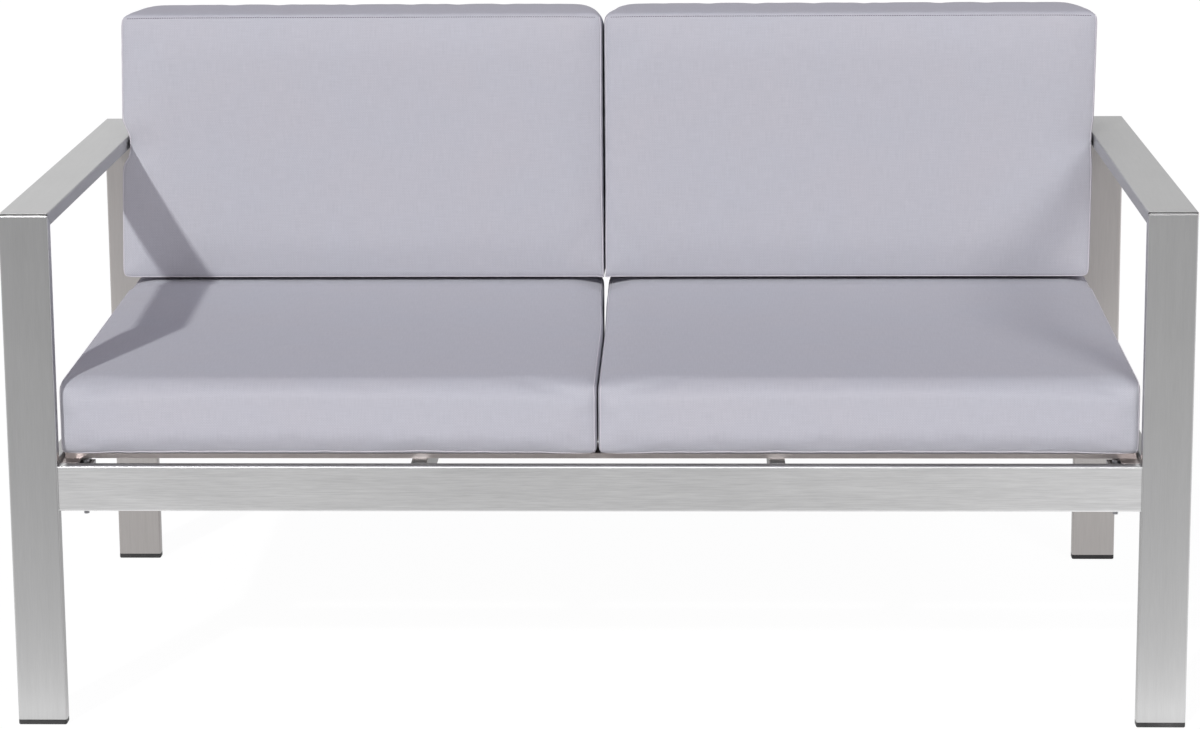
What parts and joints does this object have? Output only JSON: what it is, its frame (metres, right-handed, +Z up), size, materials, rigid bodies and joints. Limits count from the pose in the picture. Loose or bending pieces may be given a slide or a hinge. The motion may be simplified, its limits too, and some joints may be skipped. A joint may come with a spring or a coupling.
{
  "type": "garden sofa",
  "caption": "Garden sofa with a frame of flat brushed aluminium tube, mitred armrests, a slatted seat and back, and loose seat and back cushions.",
  "frame": {"origin": "on the ground under the middle of the sofa's overall box", "axes": "+X to the viewer's right when facing the seat, +Y from the front to the back, +Z up; the left and right halves mirror each other across X"},
  "size_m": [1.32, 0.7, 0.7474],
  "materials": {
    "upright_brush": "satin",
    "crosswise_brush": "satin",
    "armrest_satin": "satin",
    "slat_aluminium": "satin",
    "black_plastic": "matte",
    "grey_plastic": "satin",
    "fastener_steel": "satin",
    "cushion_fabric": "matte",
    "foam": "matte"
  },
  "bodies": {
    "frame": {"access_hole_caps": "grey_plastic", "back_low_rail": "crosswise_brush", "back_slat_1": "slat_aluminium", "back_slat_2": "slat_aluminium", "back_slat_3": "slat_aluminium", "back_slat_4": "slat_aluminium", "back_slat_5": "slat_aluminium", "back_slat_6": "slat_aluminium", "back_slat_7": "slat_aluminium", "back_slat_8": "slat_aluminium", "back_slat_screws": "fastener_steel", "back_top_rail": "crosswise_brush", "corner_blocks": "black_plastic", "corner_connectors": "crosswise_brush", "front_seat_rail": "crosswise_brush", "left_armrest": "armrest_satin", "left_back_rail_cap": "grey_plastic", "left_back_upright": "upright_brush", "left_cross_bar": "crosswise_brush", "left_front_foot_cap": "black_plastic", "left_front_leg": "upright_brush", "left_rear_foot_cap": "black_plastic", "left_rear_leg": "upright_brush", "left_side_rail": "crosswise_brush", "left_slat_ledge": "slat_aluminium", "rail_end_plugs": "crosswise_brush", "rear_seat_rail": "crosswise_brush", "right_armrest": "armrest_satin", "right_back_rail_cap": "grey_plastic", "right_back_upright": "upright_brush", "right_cross_bar": "crosswise_brush", "right_front_foot_cap": "black_plastic", "right_front_leg": "upright_brush", "right_rear_foot_cap": "black_plastic", "right_rear_leg": "upright_brush", "right_side_rail": "crosswise_brush", "right_slat_ledge": "slat_aluminium", "seat_bracket_bolts": "fastener_steel", "seat_bracket_nuts": "fastener_steel", "seat_bracket_washers": "fastener_steel", "seat_brackets": "fastener_steel", "seat_slat_1": "slat_aluminium", "seat_slat_2": "slat_aluminium", "seat_slat_3": "slat_aluminium", "seat_slat_4": "slat_aluminium", "seat_slat_5": "slat_aluminium", "seat_slat_6": "slat_aluminium", "seat_slat_7": "slat_aluminium", "seat_slat_8": "slat_aluminium", "seat_slat_screws": "fastener_steel", "side_bolts": "fastener_steel", "upright_nut_plates": "fastener_steel"},
    "left_back_cushion": {"left_back_cushion_cover": "cushion_fabric", "left_back_cushion_foam": "foam"},
    "left_seat_cushion": {"left_seat_cushion_cover": "cushion_fabric", "left_seat_cushion_foam": "foam"},
    "right_back_cushion": {"right_back_cushion_cover": "cushion_fabric", "right_back_cushion_foam": "foam"},
    "right_seat_cushion": {"right_seat_cushion_cover": "cushion_fabric", "right_seat_cushion_foam": "foam"}
  },
  "joints": [
    {"name": "left_seat_cushion_pull", "type": "slide", "parent": "frame", "child": "left_seat_cushion", "axis": [0, -1, 0], "range_m": [0, 0.62]},
    {"name": "left_back_cushion_lift", "type": "slide", "parent": "frame", "child": "left_back_cushion", "axis": [0, 0, 1], "range_m": [0, 0.3]},
    {"name": "right_seat_cushion_pull", "type": "slide", "parent": "frame", "child": "right_seat_cushion", "axis": [0, -1, 0], "range_m": [0, 0.62]},
    {"name": "right_back_cushion_lift", "type": "slide", "parent": "frame", "child": "right_back_cushion", "axis": [0, 0, 1], "range_m": [0, 0.3]}
  ]
}
